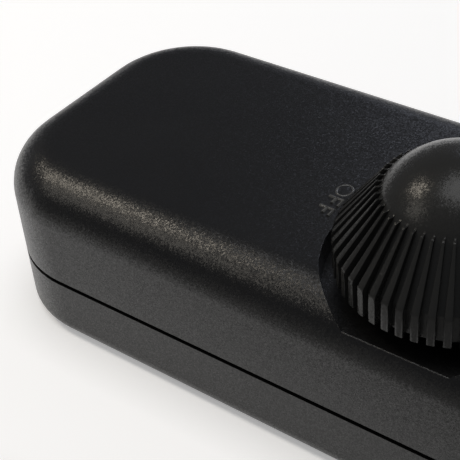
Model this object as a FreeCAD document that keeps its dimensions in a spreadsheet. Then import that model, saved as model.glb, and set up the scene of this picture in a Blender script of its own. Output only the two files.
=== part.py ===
import FreeCAD
import Part
import Sketcher
import os
import re
from FreeCAD import Placement, Rotation, Vector

# Rotary cord dimmer: a two-shell housing with a fluted knob, its control and its dimmer board.
# Millimetres. X runs along the housing, -Y is the side nearest the knob, Z is up.
# The origin is the middle of the underside.

SIZES = {
    # Housing shells
    "housing_length": 136.0,
    "housing_width": 46.0,
    "housing_height": 26.0,
    "parting_height": 10.3,
    "corner_radius": 15.0,
    "top_edge_radius": 6.5,
    "bottom_edge_radius": 2.5,
    "inside_edge_radius": 1.0,
    "wall": 2.4,
    "parting_groove_height": 0.7,
    "parting_groove_depth": 0.6,
    "lip_inset": 1.3,
    "lip_height": 1.5,
    "lip_clearance": 0.1,
    # Recess for the knob in the top cover
    "knob_from_front": 15.6,
    "recess_gap": 1.55,
    "recess_depth": 3.0,
    "recess_draft": 0.2,
    "recess_wall": 1.8,
    # Housing screws
    "screw_from_end": 11.0,
    "screw_from_side": 8.0,
    "screw_radius": 1.5,
    "screw_head_radius": 2.8,
    "screw_head_height": 2.0,
    "screw_head_depth": 2.0,
    "screw_length": 12.0,
    "screw_clearance": 0.2,
    "close_clearance": 0.15,
    "thread_clearance": 0.03,
    "boss_wall": 2.0,
    "counterbore_wall": 1.0,
    "pilot_below_screw": 0.5,
    # Cord glands
    "gland_bore_radius": 3.4,
    "gland_radius": 5.0,
    "gland_length": 8.0,
    "gland_flange_radius": 6.5,
    "gland_flange_length": 2.0,
    "gland_clearance": 0.05,
    # Cord clamps
    "clamp_from_end": 16.0,
    "clamp_bar_width": 8.0,
    "clamp_bar_height": 2.5,
    "clamp_screw_spacing": 16.0,
    "clamp_post_radius": 3.0,
    "clamp_screw_length": 7.5,
    "cord_room": 0.3,
    "saddle_rib": 1.5,
    "saddle_width": 9.0,
    # Circuit board
    "board_side_gap": 2.6,
    "component_room": 12.6,
    "board_thickness": 1.6,
    "board_corner": 2.0,
    "board_screw_inset": 4.0,
    "board_screw_radius": 1.25,
    "board_screw_length": 4.5,
    "board_post_radius": 2.6,
    "lead_radius": 0.4,
    "lead_clearance": 0.15,
    "lead_tail": 1.2,
    "part_gap": 1.0,
    # Control: mains switch below, potentiometer above
    "control_radius": 8.5,
    "control_wall": 1.0,
    "switch_height": 4.0,
    "track_thickness": 0.8,
    "potentiometer_height": 4.2,
    "bushing_wall": 0.65,
    "bushing_clearance": 0.3,
    "bushing_below_floor": 0.4,
    "shaft_radius": 3.0,
    "shaft_running_clearance": 0.05,
    "shaft_press_clearance": 0.02,
    "shaft_flat": 0.8,
    "shaft_in_knob": 9.0,
    "rotor_gap": 0.4,
    "wiper_radius": 6.5,
    "wiper_thickness": 1.5,
    "cam_radius": 4.8,
    "cam_thickness": 1.6,
    "contact_thickness": 0.5,
    "contact_width": 4.0,
    "contact_height": 2.2,
    "contact_from_wall": 1.0,
    "pin_row": 5.6,
    "pin_pitch": 4.2,
    # Knob
    "knob_radius": 14.7,
    "rib_foot": 0.1,
    "rib_side_height": 4.0,
    "rim_round": 0.45,
    "shoulder_step": 0.64,
    "shoulder_height": 10.8,
    "shoulder_round": 0.4,
    "dome_radius": 11.0,
    "knob_height": 15.5,
    "dome_blend": 0.5,
    "rib_count": 50.0,
    "flute_width": 0.88,
    "flute_depth": 1.05,
    "flute_run_in": 0.05,
    "skirt_step": 2.65,
    "skirt_gap": 0.5,
    "knob_wall": 1.6,
    "cone_wall": 2.4,
    "flute_turn": 2.5,
    "hub_wall": 2.0,
    # Power stage
    "triac_width": 7.8,
    "triac_thickness": 2.7,
    "triac_height": 10.4,
    "triac_above_board": 1.0,
    "triac_hole_below_top": 3.6,
    "triac_lead_pitch": 2.3,
    "heat_sink_width": 17.0,
    "heat_sink_thickness": 1.5,
    "heat_sink_below_recess": 0.6,
    "heat_sink_foot": 5.0,
    "small_screw_radius": 1.45,
    "small_screw_head_radius": 2.6,
    "small_screw_head_height": 1.6,
    "nut_across_flats": 5.5,
    "nut_thickness": 2.4,
    "screw_past_nut": 0.5,
    # Choke
    "choke_core_radius": 3.0,
    "choke_core_length": 24.0,
    "choke_winding_radius": 5.4,
    "choke_winding_length": 16.0,
    "choke_fit": 0.05,
    "rest_clearance": 0.02,
    # Capacitors, diac and resistors
    "film_capacitor_thickness": 8.0,
    "film_capacitor_length": 18.0,
    "film_capacitor_height": 11.0,
    "film_capacitor_pitch": 15.0,
    "timing_capacitor_length": 7.2,
    "timing_capacitor_thickness": 3.5,
    "timing_capacitor_height": 7.5,
    "timing_capacitor_pitch": 5.0,
    "axial_span": 10.0,
    "axial_pitch": 5.0,
    "resistor_radius": 1.2,
    "resistor_length": 6.3,
    "diac_radius": 0.9,
    "diac_length": 4.2,
    # Fuse
    "fuse_length": 20.0,
    "fuse_radius": 2.6,
    "fuse_glass_radius": 2.4,
    "fuse_cap_length": 5.0,
    "clip_length": 4.0,
    "clip_sheet": 0.5,
    "clip_arm_height": 3.9,
    # Terminal blocks
    "terminal_length": 8.0,
    "terminal_width": 14.0,
    "terminal_height": 10.0,
    "terminal_edge_gap": 0.5,
    "terminal_head_below_top": 0.4,
    "terminal_pitch": 7.0,
    "terminal_well_depth": 2.6,
    "terminal_screw_radius": 2.0,
    "terminal_shank_radius": 1.3,
    "terminal_shank_length": 3.0,
    "wire_hole_radius": 1.5,
    "wire_hole_height": 3.5,
    "wire_hole_depth": 5.0,
}

doc = FreeCAD.newDocument("RotaryCordDimmer")
sheet = doc.addObject("Spreadsheet::Sheet", "Sizes")
for row, (size, number) in enumerate(SIZES.items(), start=1):
    sheet.set(f"A{row}", size)
    sheet.set(f"B{row}", str(number))
    sheet.setAlias(f"B{row}", size)
doc.recompute()

# Two points nearer than this are one point
SAME_PLACE = 1e-4

parts = []
board_holes = []


def link(text):
    """The expression with each size's name pointing at its cell in the sheet."""
    return re.sub(r"[a-z]\w*", lambda m: "Sizes." + m[0] if m[0] in SIZES else m[0], text)


def bind(thing, **sizes):
    for name, text in sizes.items():
        thing.setExpression(name, link(text))
    return thing


def move(thing, x="0", y="0", z="0"):
    for axis, text in zip("xyz", (x, y, z)):
        thing.setExpression("Placement.Base." + axis, link(text))
    return thing


def value(text):
    return float(sheet.evalExpression(link(text)))


def part(name, thing):
    """Gives a finished sub-part its name."""
    thing.Label = name
    parts.append(thing)
    return thing


def block(length, width, height, x="0", y="0", z="0"):
    """A box centred on x and y, standing on z."""
    thing = doc.addObject("Part::Box", "Block")
    bind(thing, Length=length, Width=width, Height=height)
    return move(thing, f"{x} - ({length}) / 2", f"{y} - ({width}) / 2", z)


TURNS = {
    "x": Rotation(Vector(0, 1, 0), 90),
    "y": Rotation(Vector(1, 0, 0), -90),
    "z": Rotation(),
}


def rod(radius, length, x="0", y="0", z="0", along="z"):
    """A cylinder that starts at x, y, z and runs along one axis."""
    thing = doc.addObject("Part::Cylinder", "Rod")
    bind(thing, Radius=radius, Height=length)
    thing.Placement = Placement(Vector(), TURNS[along])
    return move(thing, x, y, z)


def fuse(*things):
    joined = doc.addObject("Part::MultiFuse", "Joined")
    joined.Shapes = list(things)
    joined.Refine = True
    return joined


def cut(base, *tools):
    result = doc.addObject("Part::Cut", "Cut")
    result.Base = base
    result.Tool = tools[0] if len(tools) == 1 else fuse(*tools)
    return result


def group(*things):
    """Like pieces that share one node, each a solid of its own."""
    result = doc.addObject("Part::Compound", "Group")
    result.Links = list(things)
    return result


def round_edges(body, feature, radius, wanted):
    """Fillets the edges of a feature that pass the test."""
    doc.recompute()
    edges = [f"Edge{i}" for i, edge in enumerate(feature.Shape.Edges, start=1) if wanted(edge)]
    fillet = body.newObject("PartDesign::Fillet", "Rounding")
    fillet.Base = (feature, edges)
    return bind(fillet, Radius=radius)


def at_height(level):
    """A test for edges that lie flat at one height of their own body."""
    def wanted(edge):
        box = edge.BoundBox
        return max(abs(box.ZMin - level), abs(box.ZMax - level)) < SAME_PLACE
    return wanted


def upright(edge):
    return max(edge.BoundBox.XLength, edge.BoundBox.YLength) < SAME_PLACE


def housing_block(inset, bottom, top, upper_round=None, lower_round=None):
    """The housing's outline, drawn in by an inset, between two heights, with its rounded edges."""
    length = f"(housing_length - 2 * ({inset}))"
    width = f"(housing_width - 2 * ({inset}))"
    height = f"({top} - ({bottom}))"
    body = doc.addObject("PartDesign::Body", "HousingBlock")
    move(body, f"-{length} / 2", f"-{width} / 2", bottom)
    solid = body.newObject("PartDesign::AdditiveBox", "Outline")
    bind(solid, Length=length, Width=width, Height=height)
    solid = round_edges(body, solid, f"corner_radius - ({inset})", upright)
    if upper_round:
        solid = round_edges(body, solid, upper_round, at_height(value(height)))
    if lower_round:
        solid = round_edges(body, solid, lower_round, at_height(0))
    return body


def plane_of(body, role):
    return next(f for f in body.Origin.OriginFeatures if f.Role == role)


def profile(body, role, corners):
    """A closed outline of straight lines in one of the body's planes, each corner bound to the sheet."""
    sketch = body.newObject("Sketcher::SketchObject", "Profile")
    sketch.AttachmentSupport = [(plane_of(body, role), "")]
    sketch.MapMode = "FlatFace"
    points = [Vector(value(x), value(y), 0) for x, y in corners]
    for start, end in zip(points, points[1:] + points[:1]):
        sketch.addGeometry(Part.LineSegment(start, end), False)
    count = len(points)
    for i, (x, y) in enumerate(corners):
        sketch.addConstraint(Sketcher.Constraint("Coincident", (i - 1) % count, 2, i, 1))
        if x == "0":
            sketch.addConstraint(Sketcher.Constraint("PointOnObject", i, 1, -2))
        else:
            across = sketch.addConstraint(Sketcher.Constraint("DistanceX", -1, 1, i, 1, points[i].x))
            sketch.setExpression(f"Constraints[{across}]", link(x))
        rise = sketch.addConstraint(Sketcher.Constraint("DistanceY", -1, 1, i, 1, points[i].y))
        sketch.setExpression(f"Constraints[{rise}]", link(y))
    return sketch


def screw(x, y, seat, radius, length, head_radius, head_height, points):
    """A pan-head screw whose head bears on the seat; points is 1 for a shank that runs up, -1 for down."""
    shank_foot = seat if points > 0 else f"{seat} - ({length})"
    head_foot = f"{seat} - ({head_height})" if points > 0 else seat
    shank = rod(radius, length, x, y, shank_foot)
    head = rod(head_radius, head_height, x, y, head_foot)
    return fuse(shank, head)


def lead(x, y, top):
    """A wire or pin that runs from a height above the board down through a hole in it."""
    board_holes.append((x, y))
    foot = f"({board_bottom} - lead_tail)"
    return rod("lead_radius", f"{top} - {foot}", x, y, foot)


# Places that several pieces share
SIDES = ("", "-")
CORNERS = [(a, b) for a in SIDES for b in SIDES]
knob_y = "(knob_from_front - housing_width / 2)"
recess_radius = "(knob_radius + recess_gap)"
recess_floor = "(housing_height - recess_depth)"
recess_under = f"({recess_floor} - recess_wall)"
screw_x = "(housing_length / 2 - screw_from_end)"
screw_y = "(housing_width / 2 - screw_from_side)"
screw_seat = "(screw_head_depth + screw_head_height)"
clamp_x = "(housing_length / 2 - clamp_from_end)"
clamp_y = "(clamp_screw_spacing / 2)"
clamp_seat = "(parting_height + gland_bore_radius + cord_room)"
clamp_top = f"({clamp_seat} + clamp_bar_height)"
bushing_radius = "(shaft_radius + shaft_running_clearance + bushing_wall)"

# The row of components along the board, outwards from the control, which sets the board's length
choke_x = "(control_radius + part_gap + choke_winding_radius)"
fuse_x = f"({choke_x} + choke_winding_radius + part_gap + fuse_radius + clip_sheet)"
film_x = "(control_radius + part_gap + film_capacitor_thickness / 2)"
small_x = f"({film_x} + film_capacitor_thickness / 2 + part_gap + axial_span / 2 + lead_radius)"
fuse_end = f"({fuse_x} + fuse_radius + clip_sheet)"
small_end = f"({small_x} + axial_span / 2 + lead_radius)"
terminal_x = f"(max({fuse_end}, {small_end}) + part_gap + terminal_length / 2)"
board_length = f"(2 * ({terminal_x} + terminal_length / 2 + terminal_edge_gap))"
board_width = "(housing_width - 2 * wall - 2 * board_side_gap)"
board_top = f"({recess_under} - component_room)"
board_bottom = f"({board_top} - board_thickness)"
board_screw_x = f"({board_length} / 2 - board_screw_inset)"
board_screw_y = f"({board_width} / 2 - board_screw_inset)"


def gland_hole(side):
    """The round opening for a gland, through one end wall at the parting."""
    start = "housing_length / 2 - gland_length" if side == "" else "-housing_length / 2 - wall"
    return rod("gland_radius + gland_clearance", "gland_length + wall", start, "0", "parting_height", "x")


# Top cover: rounded shell, recess cup with its floor, screw bosses, shaft hole and gland seats
def make_top_cover():
    outer = housing_block("0", "parting_height", "housing_height", upper_round="top_edge_radius")
    inner = housing_block(
        "wall", "parting_height - wall", "housing_height - wall", upper_round="top_edge_radius - wall"
    )
    cup = rod(f"{recess_radius} + recess_wall", "housing_height", "0", knob_y, recess_under)
    shell = cut(outer, cut(inner, cup))
    rebate_top = "parting_height + lip_height + lip_clearance"
    shell = cut(shell, housing_block("lip_inset - lip_clearance", "parting_height - wall", rebate_top))
    boss_height = "housing_height - wall / 2 - parting_height"
    pilot_depth = f"{screw_seat} + screw_length + pilot_below_screw - parting_height"
    bosses = []
    pilots = []
    for a, b in CORNERS:
        x, y = a + screw_x, b + screw_y
        bosses.append(rod("screw_radius + boss_wall", boss_height, x, y, "parting_height"))
        pilots.append(rod("screw_radius + thread_clearance", pilot_depth, x, y, "parting_height"))
    recess = doc.addObject("Part::Cone", "Recess")
    bind(recess, Radius1=f"{recess_radius} - recess_draft", Radius2=recess_radius, Height="recess_depth")
    move(recess, "0", knob_y, recess_floor)
    shaft_hole = rod(f"{bushing_radius} + bushing_clearance", "recess_wall", "0", knob_y, recess_under)
    holes = [gland_hole(side) for side in SIDES]
    return cut(fuse(shell, *bosses), recess, shaft_hole, *pilots, *holes)


# Bottom cover: tray with a locating lip, parting groove, screw posts, board posts and cord saddles
def make_bottom_cover():
    outer = housing_block("0", "0", "parting_height", lower_round="bottom_edge_radius")
    lip = housing_block("lip_inset", "parting_height - lip_height", "parting_height + lip_height")
    inner_top = "parting_height + lip_height + wall"
    inner = housing_block("wall", "wall", inner_top, lower_round="inside_edge_radius")
    groove_foot = "parting_height - parting_groove_height"
    groove = cut(
        housing_block("0", groove_foot, "parting_height"),
        housing_block("parting_groove_depth", f"{groove_foot} - wall", "parting_height + wall"),
    )
    tray = cut(fuse(cut(outer, groove), lip), inner)
    post_foot = "wall / 2"
    head_room = "(screw_head_radius + screw_clearance)"
    board_thread = "board_screw_radius + thread_clearance"
    clamp_thread = "small_screw_radius + thread_clearance"
    board_pilot = "(board_screw_length + pilot_below_screw)"
    clamp_pilot = "(clamp_screw_length + pilot_below_screw)"
    added = []
    removed = []
    for a, b in CORNERS:
        x, y = a + screw_x, b + screw_y
        added.append(rod(f"{head_room} + counterbore_wall", f"parting_height - {post_foot}", x, y, post_foot))
        removed.append(rod(head_room, screw_seat, x, y, "0"))
        removed.append(rod("screw_radius + screw_clearance", "parting_height", x, y, "0"))
        x, y = a + board_screw_x, b + board_screw_y
        added.append(rod("board_post_radius", f"{board_bottom} - {post_foot}", x, y, post_foot))
        removed.append(rod(board_thread, board_pilot, x, y, f"{board_top} - {board_pilot}"))
        x, y = a + clamp_x, b + clamp_y
        added.append(rod("clamp_post_radius", f"{clamp_seat} - {post_foot}", x, y, post_foot))
        removed.append(rod(clamp_thread, clamp_pilot, x, y, f"{clamp_top} - {clamp_pilot}"))
    for side in SIDES:
        saddle_height = f"parting_height - gland_bore_radius - cord_room - {post_foot}"
        for turn in SIDES:
            x = f"{side}{clamp_x} + {turn}(clamp_bar_width - saddle_rib) / 2"
            added.append(block("saddle_rib", "saddle_width", saddle_height, x, "0", post_foot))
        removed.append(gland_hole(side))
    return cut(fuse(tray, *added), *removed)


part("top_cover", make_top_cover())
part("bottom_cover", make_bottom_cover())

# Four self-tapping screws hold the shells together from the underside
part("housing_screws", group(*[
    screw(a + screw_x, b + screw_y, screw_seat, "screw_radius", "screw_length",
          "screw_head_radius", "screw_head_height", 1)
    for a, b in CORNERS
]))


# Cord glands: flanged bushes clamped between the shells, flush with the end walls
def make_gland(side):
    face = "housing_length / 2"
    tube_start = f"{face} - gland_length" if side == "" else f"-{face}"
    flange_start = f"{face} - wall - gland_flange_length" if side == "" else f"-{face} + wall"
    tube = rod("gland_radius", "gland_length", tube_start, "0", "parting_height", "x")
    flange = rod("gland_flange_radius", "gland_flange_length", flange_start, "0", "parting_height", "x")
    bore = rod("gland_bore_radius", "gland_length", tube_start, "0", "parting_height", "x")
    return cut(fuse(tube, flange), bore)


# Clamp bars that press the cord on its saddle ribs
def make_clamp(side):
    x = side + clamp_x
    bar = block("clamp_bar_width", "clamp_screw_spacing", "clamp_bar_height", x, "0", clamp_seat)
    ends = [rod("clamp_bar_width / 2", "clamp_bar_height", x, b + clamp_y, clamp_seat) for b in SIDES]
    hole_radius = "small_screw_radius + screw_clearance"
    holes = [rod(hole_radius, "clamp_bar_height", x, b + clamp_y, clamp_seat) for b in SIDES]
    return cut(fuse(bar, *ends), *holes)


for side, way in zip(SIDES, ("out", "in")):
    part("cord_gland_" + way, make_gland(side))
    part("cord_clamp_" + way, make_clamp(side))
part("clamp_screws", group(*[
    screw(a + clamp_x, b + clamp_y, clamp_top, "small_screw_radius", "clamp_screw_length",
          "small_screw_head_radius", "small_screw_head_height", -1)
    for a, b in CORNERS
]))

# Control, fixed side: a switch case on the board, the track disc on it and the potentiometer case on top
track_foot = f"({board_top} + switch_height)"
case_foot = f"({track_foot} + track_thickness)"
case_top = f"({case_foot} + potentiometer_height)"
bushing_top = f"({recess_floor} - bushing_below_floor)"
cavity_radius = "(control_radius - control_wall)"
switch_floor = f"({board_top} + control_wall)"
rotor_foot = f"({switch_floor} + rotor_gap)"


def make_potentiometer_case():
    case = rod("control_radius", f"{case_top} - {case_foot}", "0", knob_y, case_foot)
    bushing = rod(bushing_radius, f"{bushing_top} - {case_foot}", "0", knob_y, case_foot)
    cavity = rod(cavity_radius, f"{case_top} - control_wall - {case_foot}", "0", knob_y, case_foot)
    bore_radius = "shaft_radius + shaft_running_clearance"
    bore = rod(bore_radius, f"{bushing_top} - {case_foot}", "0", knob_y, case_foot)
    return cut(fuse(case, bushing), cavity, bore)


def make_switch_case():
    case = rod("control_radius", "switch_height", "0", knob_y, board_top)
    cavity = rod(cavity_radius, "switch_height - control_wall", "0", knob_y, switch_floor)
    return cut(case, cavity)


track = rod("control_radius", "track_thickness", "0", knob_y, track_foot)
track_hole = rod("shaft_radius + rotor_gap", "track_thickness", "0", knob_y, track_foot)
contact_x = f"({cavity_radius} - contact_from_wall - contact_thickness / 2)"
part("potentiometer_case", make_potentiometer_case())
part("resistance_track", cut(track, track_hole))
part("switch_case", make_switch_case())
part("switch_contacts", group(*[
    block("contact_thickness", "contact_width", "contact_height", side + contact_x, knob_y, switch_floor)
    for side in SIDES
]))
pin_places = [(f"{a}pin_pitch", f"{knob_y} + {b}pin_row") for a, b in CORNERS]
pin_places.append(("0", f"{knob_y} - pin_row"))
part("potentiometer_pins", group(*[lead(x, y, board_top) for x, y in pin_places]))

# Control, turning side: the shaft with its flat, the wiper disc and the switch cam pressed on it
skirt_foot = f"({recess_floor} + skirt_gap)"
shaft_top = f"({skirt_foot} + shaft_in_knob)"


def make_shaft():
    shaft = rod("shaft_radius", f"{shaft_top} - {rotor_foot}", "0", knob_y, rotor_foot)
    flat_x = "shaft_radius - shaft_flat / 2"
    flat = block("shaft_flat", "2 * shaft_radius", "shaft_in_knob", flat_x, knob_y, skirt_foot)
    return cut(shaft, flat)


def make_pressed_disc(radius, thickness, foot):
    disc = rod(radius, thickness, "0", knob_y, foot)
    hole = rod("shaft_radius + shaft_press_clearance", thickness, "0", knob_y, foot)
    return cut(disc, hole)


part("potentiometer_shaft", make_shaft())
part("wiper_disc", make_pressed_disc("wiper_radius", "wiper_thickness", f"{case_foot} + rotor_gap"))
cam = make_pressed_disc("cam_radius", "cam_thickness", rotor_foot)
notch = block("cam_radius", "shaft_radius", "cam_thickness", "cam_radius", knob_y, rotor_foot)
part("switch_cam", cut(cam, notch))


# Knob: a turned cone with a dome, hollow below; the flutes start in the dome and run down cone and side
dome_foot = "sqrt(dome_radius ^ 2 - (shoulder_height - knob_height + dome_radius) ^ 2)"
shoulder_radius = f"({dome_foot} + shoulder_step)"


def ring_at_height(height, radius):
    """A test for the edge of a turned body at one height and one distance from its axis."""
    flat = at_height(value(height))
    across = 2 * value(radius)
    return lambda edge: flat(edge) and abs(edge.BoundBox.XLength - across) < SAME_PLACE


def make_knob():
    body = doc.addObject("PartDesign::Body", "KnobBody")
    move(body, "0", knob_y, "housing_height")
    foot = "skirt_gap - recess_depth"
    rim = "(rib_foot + rib_side_height)"
    skirt = "knob_radius - flute_depth - skirt_step"
    turned = body.newObject("PartDesign::Revolution", "Turned")
    turned.Profile = profile(body, "XZ_Plane", [
        ("0", foot),
        (skirt, foot),
        (skirt, "rib_foot"),
        ("knob_radius", "rib_foot"),
        ("knob_radius", rim),
        (shoulder_radius, "shoulder_height"),
        ("0", "shoulder_height"),
    ])
    turned.ReferenceAxis = (turned.Profile[0], ["V_Axis"])
    turned.Angle = 360
    round_edges(body, turned, "rim_round", at_height(value(rim)))
    dome = body.newObject("PartDesign::AdditiveSphere", "Dome")
    bind(dome, Radius="dome_radius")
    dome.Angle1 = 0
    dome.setExpression("AttachmentOffset.Base.z", link("knob_height - dome_radius"))
    dome.setExpression("Placement.Base.z", link("knob_height - dome_radius"))
    blended = round_edges(body, dome, "dome_blend", ring_at_height("shoulder_height", dome_foot))
    round_edges(body, blended, "shoulder_round", ring_at_height("shoulder_height", shoulder_radius))
    hub = "shaft_radius + hub_wall"
    ceiling = "shoulder_height - knob_wall"
    hollow = body.newObject("PartDesign::Groove", "Hollow")
    hollow.Profile = profile(body, "XZ_Plane", [
        (hub, f"{foot} - knob_wall"),
        (f"{skirt} - knob_wall", f"{foot} - knob_wall"),
        (f"{skirt} - knob_wall", rim),
        (f"{shoulder_radius} - cone_wall", ceiling),
        (hub, ceiling),
    ])
    hollow.ReferenceAxis = (hollow.Profile[0], ["V_Axis"])
    hollow.Angle = 360
    bore = body.newObject("PartDesign::SubtractiveCylinder", "ShaftBore")
    bind(bore, Radius="shaft_radius + shaft_press_clearance", Height="shaft_in_knob + rotor_gap")
    bore.setExpression("Placement.Base.z", link(foot))
    key = body.newObject("PartDesign::AdditiveBox", "ShaftKey")
    bind(key, Length="shaft_flat", Width="2 * shaft_radius", Height="shaft_in_knob + rotor_gap")
    move(key, "shaft_radius - shaft_flat + shaft_press_clearance", "-shaft_radius", foot)
    run = f"(knob_radius - {shoulder_radius})"
    rise = f"(shoulder_height - {rim})"
    flute_wall = "(knob_radius - flute_depth)"
    floor_foot = f"({rim} - flute_depth * (sqrt({run} ^ 2 + {rise} ^ 2) - {rise}) / {run})"
    floor_rise = f"(shoulder_height - flute_run_in - {floor_foot}) / ({flute_wall} - {dome_foot})"
    floor_top = f"{floor_foot} + ({flute_wall} - ({hub})) * {floor_rise}"
    outer = "knob_radius + skirt_step"
    flute = body.newObject("PartDesign::Pocket", "Flute")
    flute.Profile = profile(body, "XZ_Plane", [
        (hub, floor_top),
        (flute_wall, floor_foot),
        (flute_wall, "rib_foot - skirt_step"),
        (outer, "rib_foot - skirt_step"),
        (outer, floor_top),
    ])
    flute_sketch = flute.Profile[0]
    flute_sketch.AttachmentOffset = Placement(Vector(), Rotation(Vector(0, 1, 0), value("flute_turn")))
    flute_sketch.setExpression("AttachmentOffset.Rotation.Angle", link("flute_turn"))
    flute.SideType = "Symmetric"
    bind(flute, Length="flute_width")
    flutes = body.newObject("PartDesign::PolarPattern", "Flutes")
    flutes.Originals = [flute]
    flutes.Axis = (plane_of(body, "Z_Axis"), [""])
    flutes.Angle = 360
    bind(flutes, Occurrences="rib_count")
    body.Tip = flutes
    return body


part("knob", make_knob())

# Power stage behind the control: heat sink bracket with the triac screwed to its front
triac_front = f"({knob_y} + control_radius + 2 * part_gap + small_screw_head_height)"
triac_back = f"({triac_front} + triac_thickness)"
triac_hole_radius = "(small_screw_radius + close_clearance)"
triac_foot = f"({board_top} + triac_above_board)"
triac_hole_z = f"({triac_foot} + triac_height - triac_hole_below_top)"
sink_height = f"({recess_under} - heat_sink_below_recess - {board_top})"
triac_middle = f"{triac_front} + triac_thickness / 2"


def make_triac():
    case = block("triac_width", "triac_thickness", "triac_height", "0", triac_middle, triac_foot)
    pins = [lead(f"{n} * triac_lead_pitch", triac_middle, triac_foot) for n in (-1, 0, 1)]
    hole = rod(triac_hole_radius, "triac_thickness", "0", triac_front, triac_hole_z, "y")
    return cut(fuse(case, *pins), hole)


def make_heat_sink():
    plate_y = f"{triac_back} + heat_sink_thickness / 2"
    plate = block("heat_sink_width", "heat_sink_thickness", sink_height, "0", plate_y, board_top)
    foot_y = f"{triac_back} + heat_sink_foot / 2"
    foot = block("heat_sink_width", "heat_sink_foot", "heat_sink_thickness", "0", foot_y, board_top)
    hole = rod(triac_hole_radius, "heat_sink_thickness", "0", triac_back, triac_hole_z, "y")
    return cut(fuse(plate, foot), hole)


def make_heat_sink_screw():
    head_y = f"{triac_front} - small_screw_head_height"
    shank_length = "triac_thickness + heat_sink_thickness + nut_thickness + screw_past_nut"
    head = rod("small_screw_head_radius", "small_screw_head_height", "0", head_y, triac_hole_z, "y")
    shank = rod("small_screw_radius", shank_length, "0", triac_front, triac_hole_z, "y")
    return fuse(head, shank)


def make_heat_sink_nut():
    hexagon = doc.addObject("Part::Prism", "Hexagon")
    hexagon.Polygon = 6
    bind(hexagon, Circumradius="nut_across_flats / sqrt(3)", Height="nut_thickness")
    hexagon.Placement = Placement(Vector(), TURNS["y"])
    nut_y = f"{triac_back} + heat_sink_thickness"
    move(hexagon, "0", nut_y, triac_hole_z)
    thread = rod("small_screw_radius + thread_clearance", "nut_thickness", "0", nut_y, triac_hole_z, "y")
    return cut(hexagon, thread)


part("triac", make_triac())
part("heat_sink", make_heat_sink())
part("heat_sink_screw", make_heat_sink_screw())
part("heat_sink_nut", make_heat_sink_nut())

# Interference choke: a wound ferrite rod that lies across the board, right of the control
choke_z = f"({board_top} + choke_winding_radius + rest_clearance)"
core_start = "-choke_core_length / 2"
part("choke_core", rod("choke_core_radius", "choke_core_length", choke_x, core_start, choke_z, "y"))
winding, winding_bore = [
    rod(radius, "choke_winding_length", choke_x, "-choke_winding_length / 2", choke_z, "y")
    for radius in ("choke_winding_radius", "choke_core_radius + choke_fit")
]
part("choke_winding", cut(winding, winding_bore))

# Fuse in its two spring clips, next to the choke
fuse_z = f"({board_top} + clip_sheet + fuse_radius + rest_clearance)"
glass_length = "(fuse_length - 2 * fuse_cap_length)"
part("fuse_tube", rod("fuse_glass_radius", glass_length, fuse_x, f"-{glass_length} / 2", fuse_z, "y"))
part("fuse_caps", group(*[
    rod("fuse_radius", "fuse_cap_length", fuse_x, start, fuse_z, "y")
    for start in ("-fuse_length / 2", f"{glass_length} / 2")
]))


def make_clip(side):
    y = f"{side}(fuse_length - fuse_cap_length) / 2"
    inner_width = "2 * (fuse_radius + rest_clearance)"
    outer_width = f"{inner_width} + 2 * clip_sheet"
    folded = block(outer_width, "clip_length", "clip_sheet + clip_arm_height", fuse_x, y, board_top)
    room = block(inner_width, "clip_length", "clip_arm_height", fuse_x, y, f"{board_top} + clip_sheet")
    return cut(folded, room)


part("fuse_clips", group(*[make_clip(side) for side in SIDES]))

# Capacitors, diac and resistors, left of the control
def make_film_capacitor():
    x = "-" + film_x
    size = ("film_capacitor_thickness", "film_capacitor_length", "film_capacitor_height")
    legs = [lead(x, f"{side}film_capacitor_pitch / 2", board_top) for side in SIDES]
    return fuse(block(*size, x, "0", board_top), *legs)


def make_timing_capacitor():
    y = "2 * axial_pitch"
    size = ("timing_capacitor_length", "timing_capacitor_thickness", "timing_capacitor_height")
    legs = [lead(f"-{small_x} + {side}timing_capacitor_pitch / 2", y, board_top) for side in SIDES]
    return fuse(block(*size, "-" + small_x, y, board_top), *legs)


def make_axial(y, radius, length):
    """A small wired component that lies along X, with its wires bent down into the board."""
    axis_z = f"({board_top} + {radius} + rest_clearance)"
    case = rod(radius, length, f"-{small_x} - {length} / 2", y, axis_z, "x")
    wire = rod("lead_radius", "axial_span", f"-{small_x} - axial_span / 2", y, axis_z, "x")
    legs = [lead(f"-{small_x} + {side}axial_span / 2", y, f"({axis_z} + lead_radius)") for side in SIDES]
    return fuse(case, wire, *legs)


part("film_capacitor", make_film_capacitor())
part("timing_capacitor", make_timing_capacitor())
part("diac", make_axial("axial_pitch", "diac_radius", "diac_length"))
part("resistors", group(*[
    make_axial(y, "resistor_radius", "resistor_length") for y in ("0", "-axial_pitch")
]))

# Terminal blocks at the two ends of the board, with their screws
terminal_top = f"({board_top} + terminal_height)"
well_foot = f"({terminal_top} - terminal_well_depth)"


def make_terminal_block(side):
    x = side + terminal_x
    case = block("terminal_length", "terminal_width", "terminal_height", x, "0", board_top)
    thread_radius = "terminal_shank_radius + thread_clearance"
    thread_length = "terminal_shank_length + rest_clearance"
    mouth = f"({terminal_x} + terminal_length / 2)"
    wire_start = f"{mouth} - wire_hole_depth" if side == "" else "-" + mouth
    wire_z = f"{board_top} + wire_hole_height"
    removed = []
    for turn in SIDES:
        y = f"{turn}terminal_pitch / 2"
        removed.append(rod("terminal_screw_radius + screw_clearance", "terminal_well_depth", x, y, well_foot))
        removed.append(rod(thread_radius, thread_length, x, y, f"{well_foot} - ({thread_length})"))
        removed.append(rod("wire_hole_radius", "wire_hole_depth", wire_start, y, wire_z, "x"))
    return cut(case, *removed)


for side, way in zip(SIDES, ("out", "in")):
    part("terminal_block_" + way, make_terminal_block(side))
part("terminal_screws", group(*[
    screw(a + terminal_x, f"{b}terminal_pitch / 2", well_foot,
          "terminal_shank_radius", "terminal_shank_length",
          "terminal_screw_radius", "terminal_well_depth - terminal_head_below_top", -1)
    for a, b in CORNERS
]))


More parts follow.
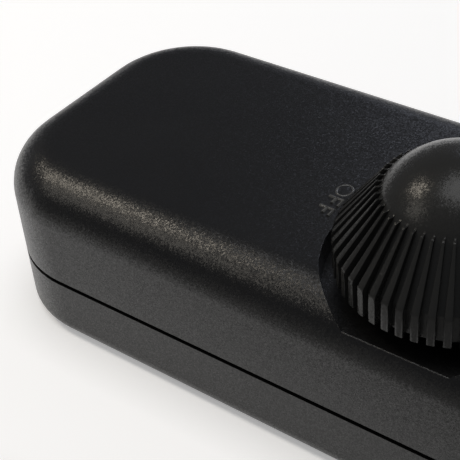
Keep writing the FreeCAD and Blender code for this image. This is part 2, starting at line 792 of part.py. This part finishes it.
# Circuit board with its lead holes, screwed to the posts of the bottom cover
def make_circuit_board():
    body = doc.addObject("PartDesign::Body", "BoardBody")
    move(body, f"-{board_length} / 2", f"-{board_width} / 2", board_bottom)
    laminate = body.newObject("PartDesign::AdditiveBox", "BoardOutline")
    bind(laminate, Length=board_length, Width=board_width, Height="board_thickness")
    round_edges(body, laminate, "board_corner", upright)
    drills = [("lead_radius + lead_clearance", x, y) for x, y in board_holes]
    drills += [
        ("board_screw_radius + screw_clearance", a + board_screw_x, b + board_screw_y) for a, b in CORNERS
    ]
    return cut(body, *[rod(radius, "board_thickness", x, y, board_bottom) for radius, x, y in drills])


part("circuit_board", make_circuit_board())
part("board_screws", group(*[
    screw(a + board_screw_x, b + board_screw_y, board_top, "board_screw_radius", "board_screw_length",
          "small_screw_head_radius", "small_screw_head_height", -1)
    for a, b in CORNERS
]))

doc.recompute()
faulty = [thing.Label for thing in doc.Objects if {"Invalid", "Error"} & set(thing.State)]
faulty += [thing.Label for thing in parts if thing.Shape.isNull() or not thing.Shape.isValid()]
if faulty:
    raise RuntimeError("failed: " + ", ".join(faulty))
os.makedirs("parts", exist_ok=True)
for thing in parts:
    thing.Shape.exportStep(f"parts/{thing.Label}.step")
    print(thing.Label, len(thing.Shape.Solids), round(thing.Shape.Volume, 1))
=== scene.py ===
import math

import bmesh
import bpy
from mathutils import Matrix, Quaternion, Vector


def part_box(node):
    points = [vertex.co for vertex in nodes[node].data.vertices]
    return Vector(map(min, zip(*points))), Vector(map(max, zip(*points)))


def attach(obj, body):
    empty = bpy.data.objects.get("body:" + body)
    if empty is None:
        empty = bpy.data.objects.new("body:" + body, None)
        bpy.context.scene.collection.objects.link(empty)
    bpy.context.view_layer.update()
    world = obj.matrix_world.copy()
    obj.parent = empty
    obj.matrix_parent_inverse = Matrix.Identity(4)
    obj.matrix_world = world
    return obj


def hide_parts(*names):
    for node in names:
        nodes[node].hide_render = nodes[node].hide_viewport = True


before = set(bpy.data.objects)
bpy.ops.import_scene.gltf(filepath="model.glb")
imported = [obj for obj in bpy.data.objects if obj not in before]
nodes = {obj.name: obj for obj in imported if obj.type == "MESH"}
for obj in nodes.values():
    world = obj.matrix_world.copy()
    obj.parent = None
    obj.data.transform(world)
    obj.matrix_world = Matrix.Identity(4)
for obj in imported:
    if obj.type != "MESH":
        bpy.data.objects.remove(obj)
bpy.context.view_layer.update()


# Bottom cover: the lower housing shell, injection moulded in black ABS.
# Its outside takes the grain of a spark-eroded mould, and its top edge is stepped back as a parting groove.
def linear(colour):
    """An sRGB hex colour as the linear one that the shaders take."""
    parts = [int(colour[i:i + 2], 16) / 255 for i in (1, 3, 5)]
    return [p / 12.92 if p <= 0.04045 else ((p + 0.055) / 1.055) ** 2.4 for p in parts] + [1.0]


def add_node(tree, kind, inputs=None, **settings):
    """Adds a shader node with its settings, and fills or links its inputs."""
    added = tree.nodes.new("ShaderNode" + kind)
    for name, setting in settings.items():
        setattr(added, name, setting)
    for name, given in (inputs or {}).items():
        if isinstance(given, bpy.types.NodeSocket):
            tree.links.new(given, added.inputs[name])
        else:
            added.inputs[name].default_value = given
    return added


def new_material(name):
    """An empty material: its node tree, its shader and the object's own coordinates in metres."""
    material = bpy.data.materials.new(name)
    material.use_nodes = True
    tree = material.node_tree
    return material, tree, tree.nodes["Principled BSDF"], add_node(tree, "TexCoord").outputs["Object"]


def feed(tree, shader, **sockets):
    """Links outputs of nodes to the shader's sockets, with _ for a blank in a socket's name."""
    for name, output in sockets.items():
        tree.links.new(output, shader.inputs[name.replace("_", " ")])


GRAIN = 0.00015
HANDLED_SPOT = 0.012


def grained_abs(name, dark, light, gloss, lean, specular=0.42):
    """Black ABS from a spark-eroded mould, whose small facets break a highlight into glitter.

    The real grain of about 0.05 mm is drawn 0.15 mm wide, or it would be lost between two pixels.
    Slow changes in colour and gloss come from handling.
    """
    material, tree, shader, place = new_material(name)
    facet = add_node(tree, "TexVoronoi", {"Vector": place, "Scale": 1 / GRAIN}).outputs["Color"]
    way = add_node(tree, "VectorMath", {0: facet, 1: (0.5, 0.5, 0.5)}, operation="SUBTRACT").outputs[0]
    tilt = add_node(tree, "VectorMath", {0: way, "Scale": lean}, operation="SCALE").outputs[0]
    flat = add_node(tree, "NewGeometry").outputs["Normal"]
    leaning = add_node(tree, "VectorMath", {0: flat, 1: tilt}, operation="ADD").outputs[0]
    facing = add_node(tree, "VectorMath", {0: leaning}, operation="NORMALIZE")
    spots = {"Vector": place, "Scale": 1 / HANDLED_SPOT, "Detail": 3.0}
    handled = add_node(tree, "TexNoise", spots).outputs[0]
    shine = add_node(tree, "MapRange", {"Value": handled, "To Min": gloss[0], "To Max": gloss[1]})
    shade = add_node(tree, "MixRGB", {"Fac": handled, "Color1": linear(dark), "Color2": linear(light)})
    feed(tree, shader, Normal=facing.outputs[0], Roughness=shine.outputs[0], Base_Color=shade.outputs[0])
    shader.inputs["Specular IOR Level"].default_value = specular
    return material


def dress(material, *things):
    """Gives things a material in the place of their own."""
    for thing in things:
        thing.data.materials.clear()
        thing.data.materials.append(material)


housing_abs = grained_abs("ABS black, spark-eroded grain", "#0A0A0B", "#0E0E0E", (0.30, 0.36), 0.19)
dress(housing_abs, nodes["bottom_cover"])


# Cord glands: two bushes of soft black rubber, clasped between the shells in the end walls.
# Their edges are rounded where the cord would bend over them.
def moulded_copy(node, name):
    """A copy of a CAD node whose faces are joined along their edges, ready for edit mode."""
    bpy.ops.object.select_all(action="DESELECT")
    piece = nodes[node].copy()
    piece.data = nodes[node].data.copy()
    piece.name = piece.data.name = name
    piece.parent = None
    for key in list(piece.keys()):
        del piece[key]
    bpy.context.scene.collection.objects.link(piece)
    bpy.context.view_layer.objects.active = piece
    piece.select_set(True)
    bpy.ops.object.mode_set(mode="EDIT")
    bpy.ops.mesh.select_all(action="SELECT")
    bpy.ops.mesh.customdata_custom_splitnormals_clear()
    bpy.ops.mesh.remove_doubles(threshold=2e-6)
    bpy.ops.mesh.select_all(action="DESELECT")
    return piece


def soften(piece, wanted, width, segments):
    """Rounds the sharp outside edges that pass the test, then smooths the faces between edges that stay."""
    bpy.ops.mesh.select_mode(type="EDGE")
    shape = bmesh.from_edit_mesh(piece.data)
    for edge in shape.edges:
        sharp = len(edge.link_faces) == 2 and edge.is_convex and edge.calc_face_angle() > math.radians(28)
        edge.select_set(sharp and all(wanted(corner.co) for corner in edge.verts))
    bmesh.update_edit_mesh(piece.data)
    bpy.ops.mesh.bevel(offset=width, segments=segments, profile=0.5, affect="EDGES")
    bpy.ops.object.mode_set(mode="OBJECT")
    bpy.ops.object.shade_smooth_by_angle(angle=math.radians(30))
    even = piece.modifiers.new("Even shading", "WEIGHTED_NORMAL")
    even.keep_sharp = True
    bpy.ops.object.modifier_apply(modifier=even.name)


def stand_for(piece, node, body):
    """Lets a piece ride with a body in the place of a CAD node."""
    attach(piece, body)
    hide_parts(node)


def mottled(name, dark, light, spot, gloss, relief, metal=0.0):
    """A material whose colour, gloss and relief vary in spots of a given size in metres."""
    material, tree, shader, place = new_material(name)
    shader.inputs["Metallic"].default_value = metal
    spots = add_node(tree, "TexNoise", {"Vector": place, "Scale": 1 / spot, "Detail": 3.0}).outputs[0]
    shine = add_node(tree, "MapRange", {"Value": spots, "To Min": gloss[0], "To Max": gloss[1]})
    shade = add_node(tree, "MixRGB", {"Fac": spots, "Color1": linear(dark), "Color2": linear(light)})
    bump = add_node(tree, "Bump", {"Height": spots, "Distance": relief})
    feed(tree, shader, Normal=bump.outputs[0], Roughness=shine.outputs[0], Base_Color=shade.outputs[0])
    return material


rubber = mottled("Rubber black, matt", "#0D0D0D", "#1B1B1A", 0.0006, (0.62, 0.78), 0.00004)
for end in ("in", "out"):
    gland = moulded_copy(f"cord_gland_{end}", f"gland_bush_{end}")
    soften(gland, lambda point: True, 0.0003, 3)
    dress(rubber, gland)
    stand_for(gland, f"cord_gland_{end}", "housing")


# Cord clamps: a bar of black polyamide behind each gland, held on the saddle by two screws.
# All the small screws are rolled steel with bright zinc, whose drawing lines run round them.
LINE_WIDTH = 0.00005


def drawn_metal(name, dark, light, gloss, stretch):
    """Metal with fine drawing lines: noise, pulled out along the axes that have a small stretch."""
    material, tree, shader, place = new_material(name)
    shader.inputs["Metallic"].default_value = 1.0
    pulled = add_node(tree, "Mapping", {"Vector": place, "Scale": stretch}).outputs[0]
    fine = {"Vector": pulled, "Scale": 1 / LINE_WIDTH, "Detail": 2.0}
    lines = add_node(tree, "TexNoise", fine).outputs[0]
    shine = add_node(tree, "MapRange", {"Value": lines, "To Min": gloss[0], "To Max": gloss[1]})
    shade = add_node(tree, "MixRGB", {"Fac": lines, "Color1": linear(dark), "Color2": linear(light)})
    bump = add_node(tree, "Bump", {"Height": lines, "Distance": 0.000004})
    feed(tree, shader, Normal=bump.outputs[0], Roughness=shine.outputs[0], Base_Color=shade.outputs[0])
    return material


zinc = drawn_metal("Steel, bright zinc plated", "#8E9196", "#C9CBCE", (0.25, 0.42), (0.1, 0.1, 1.0))
clamp_polyamide = mottled("Polyamide black, eroded", "#141414", "#222221", 0.0005, (0.45, 0.6), 0.00003)
dress(clamp_polyamide, nodes["cord_clamp_in"], nodes["cord_clamp_out"])
dress(zinc, nodes["clamp_screws"])


# Circuit board: bare glass laminate, sawn to size and screwed on four posts of the bottom cover.
# The crossing glass threads show through the resin at a pitch of half a millimetre.
laminate, tree, shader, place = new_material("Glass laminate, bare")
THREAD_PITCH = 0.0005
WAVE_LENGTH = 0.314  # of a wave texture with a scale of 1
threads = {"Vector": place, "Scale": WAVE_LENGTH / THREAD_PITCH}
warp = add_node(tree, "TexWave", threads, bands_direction="X")
weft = add_node(tree, "TexWave", threads, bands_direction="Y")
weave = add_node(tree, "Math", {0: warp.outputs[1], 1: weft.outputs[1]}, operation="MULTIPLY").outputs[0]
shade = add_node(tree, "MixRGB", {"Fac": weave, "Color1": linear("#A68A4E"), "Color2": linear("#C2A768")})
bump = add_node(tree, "Bump", {"Height": weave, "Distance": 0.00001})
feed(tree, shader, Normal=bump.outputs[0], Base_Color=shade.outputs[0])
dress(laminate, nodes["circuit_board"])
dress(zinc, nodes["board_screws"])


# Terminal blocks: grey polyamide with a clamping screw for each of the four wires.
# They stand at both ends of the board, facing the glands.
terminal_polyamide = mottled("Polyamide grey, satin", "#6B6D70", "#7D7F82", 0.0008, (0.38, 0.5), 0.00002)
dress(terminal_polyamide, nodes["terminal_block_in"], nodes["terminal_block_out"])
dress(zinc, nodes["terminal_screws"])


# Control, fixed side: a case of dark blue polyester for the mains switch, and one for the potentiometer.
# The track is a disc of brown laminate with a printed ring of carbon.
# The pins and contacts are brass.
control_polyester = mottled("Polyester dark blue, satin", "#1B2A4A", "#243657", 0.0008, (0.4, 0.52),
                            0.00002)
dress(control_polyester, nodes["switch_case"], nodes["potentiometer_case"])
brass = drawn_metal("Brass, bright", "#B08A48", "#DDB870", (0.22, 0.36), (1.0, 1.0, 0.08))
dress(brass, nodes["switch_contacts"], nodes["potentiometer_pins"])
knob_low, knob_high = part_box("knob")
KNOB_AXIS = (knob_low + knob_high) / 2
CARBON_RING = (0.0048, 0.0062)
PAPER_FIBRE = 0.0003
track_print, tree, shader, place = new_material("Paper laminate brown, carbon print")
flat = add_node(tree, "VectorMath", {0: place, 1: (1, 1, 0)}, operation="MULTIPLY").outputs[0]
axis = (KNOB_AXIS.x, KNOB_AXIS.y, 0)
reach = add_node(tree, "VectorMath", {0: flat, 1: axis}, operation="DISTANCE").outputs["Value"]
inside = add_node(tree, "Math", {0: reach, 1: CARBON_RING[1]}, operation="LESS_THAN").outputs[0]
outside = add_node(tree, "Math", {0: reach, 1: CARBON_RING[0]}, operation="GREATER_THAN").outputs[0]
ring = add_node(tree, "Math", {0: inside, 1: outside}, operation="MULTIPLY").outputs[0]
fibre = add_node(tree, "TexNoise", {"Vector": place, "Scale": 1 / PAPER_FIBRE, "Detail": 4.0}).outputs[0]
browns = {"Fac": fibre, "Color1": linear("#5E3B22"), "Color2": linear("#7D5433")}
brown = add_node(tree, "MixRGB", browns).outputs[0]
shade = add_node(tree, "MixRGB", {"Fac": ring, "Color1": brown, "Color2": linear("#191817")})
shine = add_node(tree, "MapRange", {"Value": ring, "To Min": 0.45, "To Max": 0.7})
feed(tree, shader, Roughness=shine.outputs[0], Base_Color=shade.outputs[0])
dress(track_print, nodes["resistance_track"])


# Control, turning side: the shaft, with the wiper disc and the switch's cam pressed on it.
# All three are natural polyamide, so they are slightly milky and satin.
shaft_polyamide = mottled("Polyamide natural, satin", "#D9D5C8", "#E6E3DA", 0.001, (0.38, 0.5), 0.00001)
milky = shaft_polyamide.node_tree.nodes["Principled BSDF"]
milky.inputs["Subsurface Weight"].default_value = 0.15
milky.inputs["Subsurface Scale"].default_value = 0.001
dress(shaft_polyamide, nodes["potentiometer_shaft"], nodes["wiper_disc"], nodes["switch_cam"])


# Power stage: the triac in black epoxy, screwed to a bracket of bent aluminium sheet.
# The sheet carries the heat away, and keeps the lines of the rolling mill.
triac_epoxy = mottled("Epoxy black, moulded", "#131313", "#1F1F1F", 0.0002, (0.42, 0.55), 0.00001)
dress(triac_epoxy, nodes["triac"])
aluminium = drawn_metal("Aluminium, mill finish", "#A9ABAE", "#CFD1D3", (0.28, 0.45), (0.04, 1.0, 1.0))
dress(aluminium, nodes["heat_sink"])
dress(zinc, nodes["heat_sink_screw"], nodes["heat_sink_nut"])


# Choke: a rod of sintered ferrite, wound with enamelled copper wire of half a millimetre.
# The turns lie side by side along the rod.
ferrite = mottled("Ferrite, sintered", "#242424", "#3A3A3B", 0.00015, (0.5, 0.7), 0.00002)
dress(ferrite, nodes["choke_core"])
WIRE_PITCH = 0.0005
enamel, tree, shader, place = new_material("Copper wire, enamelled")
shader.inputs["Metallic"].default_value = 1.0
shader.inputs["Coat Weight"].default_value = 0.6
winding = {"Vector": place, "Scale": WAVE_LENGTH / WIRE_PITCH}
turns = add_node(tree, "TexWave", winding, bands_direction="Y").outputs[1]
# The copper is coloured darker where the bump sinks between turns: painted shade in the grooves.
shade = add_node(tree, "MixRGB", {"Fac": turns, "Color1": linear("#5A2A14"), "Color2": linear("#B8683A")})
bump = add_node(tree, "Bump", {"Height": turns, "Distance": WIRE_PITCH / 2})
shine = add_node(tree, "MapRange", {"Value": turns, "To Min": 0.45, "To Max": 0.28})
feed(tree, shader, Normal=bump.outputs[0], Roughness=shine.outputs[0], Base_Color=shade.outputs[0])
dress(enamel, nodes["choke_winding"])


# Capacitors: the film capacitor across the mains and the small one that times the triac.
# Both are potted in yellow epoxy, which is glossy with shallow waves.
potting = mottled("Epoxy yellow, glossy", "#C9A227", "#DDB944", 0.003, (0.2, 0.32), 0.00005)
dress(potting, nodes["film_capacitor"], nodes["timing_capacitor"])


# Resistors and diac: two resistors in beige lacquer with their rings of colour, and a diac in blue glass.
# The rings are painted round the bodies, which all lie along the board.
resistors_low, resistors_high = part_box("resistors")
RINGS = {0.0: "#C8A980", 0.36: "#5B3318", 0.40: "#C8A980", 0.45: "#141312", 0.49: "#C8A980",
         0.54: "#A92B1E", 0.58: "#C8A980", 0.64: "#A57F31", 0.68: "#C8A980"}
LACQUER_DIP = 0.0012
lacquer, tree, shader, place = new_material("Lacquer beige, colour rings")
along = add_node(tree, "SeparateXYZ", {"Vector": place}).outputs["X"]
ends = {"From Min": resistors_low.x, "From Max": resistors_high.x}
share = add_node(tree, "MapRange", {"Value": along, **ends}).outputs[0]
rings = add_node(tree, "ValToRGB", {"Fac": share})
rings.color_ramp.interpolation = "CONSTANT"
rings.color_ramp.elements.remove(rings.color_ramp.elements[1])
for position, colour in RINGS.items():
    rings.color_ramp.elements.new(position).color = linear(colour)
dips = add_node(tree, "TexNoise", {"Vector": place, "Scale": 1 / LACQUER_DIP, "Detail": 2.0}).outputs[0]
shine = add_node(tree, "MapRange", {"Value": dips, "To Min": 0.22, "To Max": 0.36})
bump = add_node(tree, "Bump", {"Height": dips, "Distance": 0.00004})
feed(tree, shader, Normal=bump.outputs[0], Roughness=shine.outputs[0], Base_Color=rings.outputs[0])
dress(lacquer, nodes["resistors"])
blue_glass = mottled("Glass blue, lacquered", "#2B5A97", "#3A6CA8", 0.001, (0.12, 0.22), 0.00001)
dress(blue_glass, nodes["diac"])


# Fuse: a clear glass tube with nickel plated caps, pressed into two clips of spring bronze.
# The glass carries a faint film of dust.
DUST_SPOT = 0.0015
fuse_glass, tree, shader, place = new_material("Glass clear, fuse tube")
shader.inputs["Transmission Weight"].default_value = 1.0
dust = add_node(tree, "TexNoise", {"Vector": place, "Scale": 1 / DUST_SPOT, "Detail": 4.0}).outputs[0]
shine = add_node(tree, "MapRange", {"Value": dust, "To Min": 0.02, "To Max": 0.12})
shade = add_node(tree, "MixRGB", {"Fac": dust, "Color1": linear("#F4FAFA"), "Color2": linear("#E4EDEC")})
feed(tree, shader, Roughness=shine.outputs[0], Base_Color=shade.outputs[0])
dress(fuse_glass, nodes["fuse_tube"])
nickel = drawn_metal("Brass, nickel plated", "#A8A49B", "#D8D4CB", (0.15, 0.28), (1.0, 0.1, 1.0))
bronze = drawn_metal("Spring bronze, tinned", "#9C958A", "#C6BFB2", (0.25, 0.4), (1.0, 0.1, 1.0))
dress(nickel, nodes["fuse_caps"])
dress(bronze, nodes["fuse_clips"])


# Top cover: the upper shell, of the same ABS, with the round recess for the knob.
# The recess runs out through the rounded front edge, and its rim is broken to a small radius in the mould.
top_low, top_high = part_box("top_cover")
RECESS_RADIUS = 0.01625
RECESS_FLOOR = top_high.z - 0.003
RIM_SLACK = 0.0006
FLOOR_SLACK = 0.00005
RUN_OUT = top_low.y + 0.004


def on_recess_rim(point):
    reach = math.hypot(point.x - KNOB_AXIS.x, point.y - KNOB_AXIS.y)
    return abs(reach - RECESS_RADIUS) < RIM_SLACK and point.z > RECESS_FLOOR - 2 * FLOOR_SLACK


def on_run_out(point):
    return abs(point.z - RECESS_FLOOR) < FLOOR_SLACK and point.y < RUN_OUT


top_cover = moulded_copy("top_cover", "top_cover_shell")
soften(top_cover, lambda point: on_recess_rim(point) or on_run_out(point), 0.00016, 3)
dress(housing_abs, top_cover)
stand_for(top_cover, "top_cover", "housing")


# Mark beside the recess: three raised letters for the end of the travel where the lamp is off.
# They stand 0.2 mm proud of the top in the same ABS, coloured a lighter grey as a painted highlight for the
# light their strokes catch.
# Their strokes are round, as an engraving cutter leaves them in the mould.
LETTER_HEIGHT = 0.00265
LETTERS_FOOT_X = -0.0202
STROKE_RADIUS = 0.00032
STROKE_SUNK = 0.00012
STROKE_HALF = math.sqrt(STROKE_RADIUS ** 2 - STROKE_SUNK ** 2)
LETTERS = {-0.00077: ("O", 0.00295), -0.00392: ("F", 0.00205), -0.00614: ("F", 0.002)}
# Points of each stroke, as shares of the letter's width and height.
STROKES = {"F": (((0, 0), (0, 1), (1, 1)), ((0, 0.52), (0.8, 0.52)))}
bpy.ops.object.select_all(action="DESELECT")
for start, (letter, width) in LETTERS.items():
    reach = Vector((LETTER_HEIGHT - 2 * STROKE_HALF, -(width - 2 * STROKE_HALF), 0))
    corner = Vector((LETTERS_FOOT_X + STROKE_HALF, start - STROKE_HALF, top_high.z - STROKE_SUNK))
    if letter == "O":
        bpy.ops.curve.primitive_bezier_circle_add(radius=0.5, location=corner + reach / 2)
        stroke = bpy.context.object
        stroke.scale = (reach.x, reach.y, 1)
        bpy.ops.object.transform_apply(location=False)
    else:
        stroke = bpy.data.objects.new("letter", bpy.data.curves.new("letter", "CURVE"))
        bpy.context.scene.collection.objects.link(stroke)
        for line in STROKES[letter]:
            spline = stroke.data.splines.new("POLY")
            spline.points.add(len(line) - 1)
            for point, (across, up) in zip(spline.points, line):
                point.co = (up * reach.x, across * reach.y, 0, 1)
        stroke.location = corner
    stroke.data.dimensions = "3D"
    stroke.data.bevel_depth = STROKE_RADIUS
    stroke.data.bevel_resolution = 3
    stroke.data.use_fill_caps = True
    stroke.name = f"letter_{letter}"
    stroke.select_set(True)
    bpy.context.view_layer.objects.active = stroke
bpy.ops.object.convert(target="MESH")
bpy.ops.object.join()
bpy.ops.object.transform_apply()
letters = bpy.context.object
letters.name = letters.data.name = "letters"
bpy.ops.object.mode_set(mode="EDIT")
bpy.ops.mesh.select_all(action="SELECT")
bpy.ops.mesh.remove_doubles(threshold=2e-6)
bpy.ops.mesh.normals_make_consistent(inside=False)
bpy.ops.object.mode_set(mode="OBJECT")
bpy.ops.object.shade_smooth_by_angle(angle=math.radians(40))
# Painted highlight: the lighter grey stands in for the light that the round strokes catch.
highlight_grey_abs = grained_abs("ABS black, grey for painted highlight", "#434342", "#4F4F4D", (0.18, 0.24), 0.2)
dress(highlight_grey_abs, letters)
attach(letters, "housing")


# Knob: a fluted cone under a smooth dome, moulded in black ABS and pushed on the control's shaft.
# Its tool has the housing's grain but is better polished, and the ribs' edges are slightly rounded.
RIBS_START = 0.009


def on_ribs(point):
    reach = math.hypot(point.x - KNOB_AXIS.x, point.y - KNOB_AXIS.y)
    return reach > RIBS_START and point.z > top_high.z


knob = moulded_copy("knob", "knob_fluted")
soften(knob, on_ribs, 0.0001, 2)
knob_abs = grained_abs("ABS black, satin grain", "#242423", "#2A2A29", (0.22, 0.28), 0.12, 0.2)
dress(knob_abs, knob)
stand_for(knob, "knob", "control")


# Housing screws: four self-tapping screws, driven from below into the top cover's bosses.
# Their heads sit in counterbores, rounded at the rim and with a tapered cross recess.
screws_low, screws_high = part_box("housing_screws")
HEAD_RADIUS = 0.0028
HEAD_ROUNDING = 0.0006
LEVEL_SLACK = 0.0001
CROSS_REACH = 0.00165
CROSS_HALF = 0.0004
CROSS_DEPTH = 0.0013
CROSS_TAPER = 0.5
OVER_CUT = 0.0002
screw_places = [(x, y) for x in (screws_low.x + HEAD_RADIUS, screws_high.x - HEAD_RADIUS)
                for y in (screws_low.y + HEAD_RADIUS, screws_high.y - HEAD_RADIUS)]
housing_screws = moulded_copy("housing_screws", "cross_recess_screws")
bpy.ops.mesh.select_all(action="SELECT")
bpy.ops.mesh.dissolve_limited(angle_limit=math.radians(1))
bpy.ops.mesh.select_all(action="DESELECT")
soften(housing_screws, lambda point: point.z < screws_low.z + LEVEL_SLACK, HEAD_ROUNDING, 4)
for x, y in screw_places:
    for turned in (0, math.pi / 2):
        bpy.ops.object.select_all(action="DESELECT")
        middle = (x, y, screws_low.z + (CROSS_DEPTH - OVER_CUT) / 2)
        bar = (2 * CROSS_REACH, 2 * CROSS_HALF, CROSS_DEPTH + OVER_CUT)
        bpy.ops.mesh.primitive_cube_add(size=1, location=middle, rotation=(0, 0, turned), scale=bar)
        cutter = bpy.context.object
        bpy.ops.object.mode_set(mode="EDIT")
        bpy.ops.mesh.select_mode(type="FACE")
        bar_shape = bmesh.from_edit_mesh(cutter.data)
        for face in bar_shape.faces:
            face.select_set(face.normal.z > 0.5)
        bmesh.update_edit_mesh(cutter.data)
        bottom = (x, y, screws_low.z + CROSS_DEPTH)
        bpy.ops.transform.resize(value=(CROSS_TAPER, CROSS_TAPER, 1), center_override=bottom)
        bpy.ops.object.mode_set(mode="OBJECT")
        recess = housing_screws.modifiers.new("Cross recess", "BOOLEAN")
        recess.object = cutter
        recess.solver = "MANIFOLD"
        bpy.context.view_layer.objects.active = housing_screws
        bpy.ops.object.modifier_apply(modifier=recess.name)
        bpy.data.objects.remove(cutter)
dress(zinc, housing_screws)
stand_for(housing_screws, "housing_screws", "housing")


# Stage: a matt paper floor, white under and behind the object, with painted shade in front of it: pale grey
# for the dim floor beyond the lamps.
# The object stands near that change, so its wall mirrors the white and its shoulder mirrors the painted
# shade as a dark band.
scene = bpy.context.scene
scene.view_settings.view_transform = "Standard"
FLOOR_SIZE = 6
PAINTED_SHADE_TURN = math.radians(14)
PAINTED_SHADE_ENDS = -0.05
WHITE_STARTS = -0.031
GLOW = 0.3

bpy.ops.object.select_all(action="DESELECT")
bpy.ops.mesh.primitive_plane_add(size=FLOOR_SIZE)
floor = bpy.context.object
floor.name = "floor"
paper, tree, shader, place = new_material("Paper, matt white with painted shade in front")
across = (-math.sin(PAINTED_SHADE_TURN), math.cos(PAINTED_SHADE_TURN), 0)
depth = add_node(tree, "VectorMath", {0: place, 1: across}, operation="DOT_PRODUCT").outputs["Value"]
limits = {"Value": depth, "From Min": PAINTED_SHADE_ENDS, "From Max": WHITE_STARTS}
change = add_node(tree, "MapRange", limits, interpolation_type="SMOOTHSTEP").outputs[0]
clouds = add_node(tree, "TexNoise", {"Vector": place, "Scale": 5.0}).outputs[0]
white = add_node(tree, "MixRGB", {"Fac": clouds, "Color1": linear("#F5F5F5"), "Color2": linear("#F8F8F8")})
# The pale grey in front is painted shade, standing in for the floor that the lamps leave dim.
shade = add_node(tree, "MixRGB", {"Fac": change, "Color1": linear("#C2C2C1"), "Color2": white.outputs[0]})
shader.inputs["Roughness"].default_value = 1.0
shader.inputs["Specular IOR Level"].default_value = 0.0
shader.inputs["Emission Color"].default_value = linear("#FFFFFF")
rays = add_node(tree, "LightPath").outputs
looked_at = add_node(tree, "Math", {0: rays["Is Camera Ray"], 1: rays["Is Glossy Ray"]}).outputs[0]
seen = add_node(tree, "Math", {0: looked_at, 1: rays["Is Transmission Ray"]}, use_clamp=True).outputs[0]
lift = add_node(tree, "Math", {0: seen, 1: GLOW}, operation="MULTIPLY").outputs[0]
glow = add_node(tree, "Math", {0: lift, 1: change}, operation="MULTIPLY").outputs[0]
feed(tree, shader, Base_Color=shade.outputs[0], Emission_Strength=glow)
dress(paper, floor)

room = bpy.data.worlds.new("Room")
room.use_nodes = True
room.node_tree.nodes["Background"].inputs["Color"].default_value = linear("#F2F5FF")
room.node_tree.nodes["Background"].inputs["Strength"].default_value = 0.15
scene.world = room

AIM = Vector((-0.03, -0.01, 0.02))


def softbox(name, azimuth, elevation, distance, size, power, colour):
    """A square lamp that faces the object; azimuth 0 is in front, negative is to the left."""
    turn = math.radians(azimuth)
    rise = math.radians(elevation)
    away = Vector((math.sin(turn) * math.cos(rise), -math.cos(turn) * math.cos(rise), math.sin(rise)))
    lamp = bpy.data.objects.new(name, bpy.data.lights.new(name, "AREA"))
    lamp.data.size = size
    lamp.data.energy = power
    lamp.data.color = linear(colour)[:3]
    lamp.location = AIM + away * distance
    lamp.rotation_euler = away.to_track_quat("Z", "Y").to_euler()
    scene.collection.objects.link(lamp)


softbox("key", -80, 47, 0.6, 0.10, 0.72, "#FFF4E2")
softbox("overhead", 0, 90, 1.0, 0.6, 4.0, "#FFFFFF")
softbox("fill", -49, 40, 0.6, 0.16, 0.28, "#FFF8EC")
softbox("back", -164, 29, 0.7, 0.18, 0.2, "#E6ECFF")
softbox("rim", 172, 9, 0.7, 0.3, 0.8, "#F4F6FF")

TARGET = Vector((-0.036447, -0.004692, 0.0138))
DISTANCE = 0.173611
turn, rise, roll = [math.radians(angle) for angle in (39.708, 38.507, -5.176)]
back = Vector((math.sin(turn) * math.cos(rise), -math.cos(turn) * math.cos(rise), math.sin(rise)))
camera = bpy.data.objects.new("camera", bpy.data.cameras.new("camera"))
camera.data.sensor_width = 36.0
camera.data.lens = 97.17
camera.data.clip_start = 0.01
camera.location = TARGET + back * DISTANCE
camera.rotation_mode = "QUATERNION"
camera.rotation_quaternion = back.to_track_quat("Z", "Y") @ Quaternion((0, 0, 1), roll)
scene.collection.objects.link(camera)
scene.camera = camera
